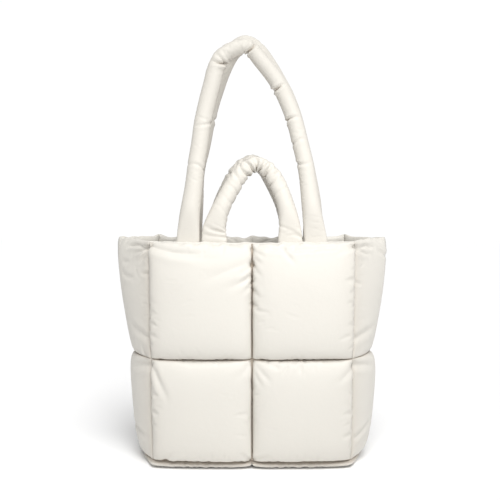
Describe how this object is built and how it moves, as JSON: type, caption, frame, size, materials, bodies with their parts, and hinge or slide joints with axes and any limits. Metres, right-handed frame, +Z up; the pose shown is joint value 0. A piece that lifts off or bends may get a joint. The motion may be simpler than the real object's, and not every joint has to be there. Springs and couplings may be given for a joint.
{
  "type": "puffer tote bag",
  "caption": "Quilted puffer tote bag: an open padded bag of puffed square panels with long padded shoulder straps and short padded top handles, standing upright on its base.",
  "frame": {"origin": "on the plane that the bag stands on, under the middle of the body", "axes": "+Z up, +X to the right as seen from the front, the front face towards -Y"},
  "size_m": [0.4322, 0.1876, 0.6681],
  "materials": {
    "shell_cloth": "smooth nylon, soft sheen",
    "strap_cloth": "smooth nylon, soft sheen"
  },
  "bodies": {
    "root": {"front_panel": "shell_cloth", "back_panel": "shell_cloth", "left_gusset": "shell_cloth", "right_gusset": "shell_cloth", "base_panel": "shell_cloth", "front_shoulder_strap": "strap_cloth", "back_shoulder_strap": "strap_cloth", "front_top_handle": "strap_cloth", "back_top_handle": "strap_cloth"}
  },
  "joints": []
}
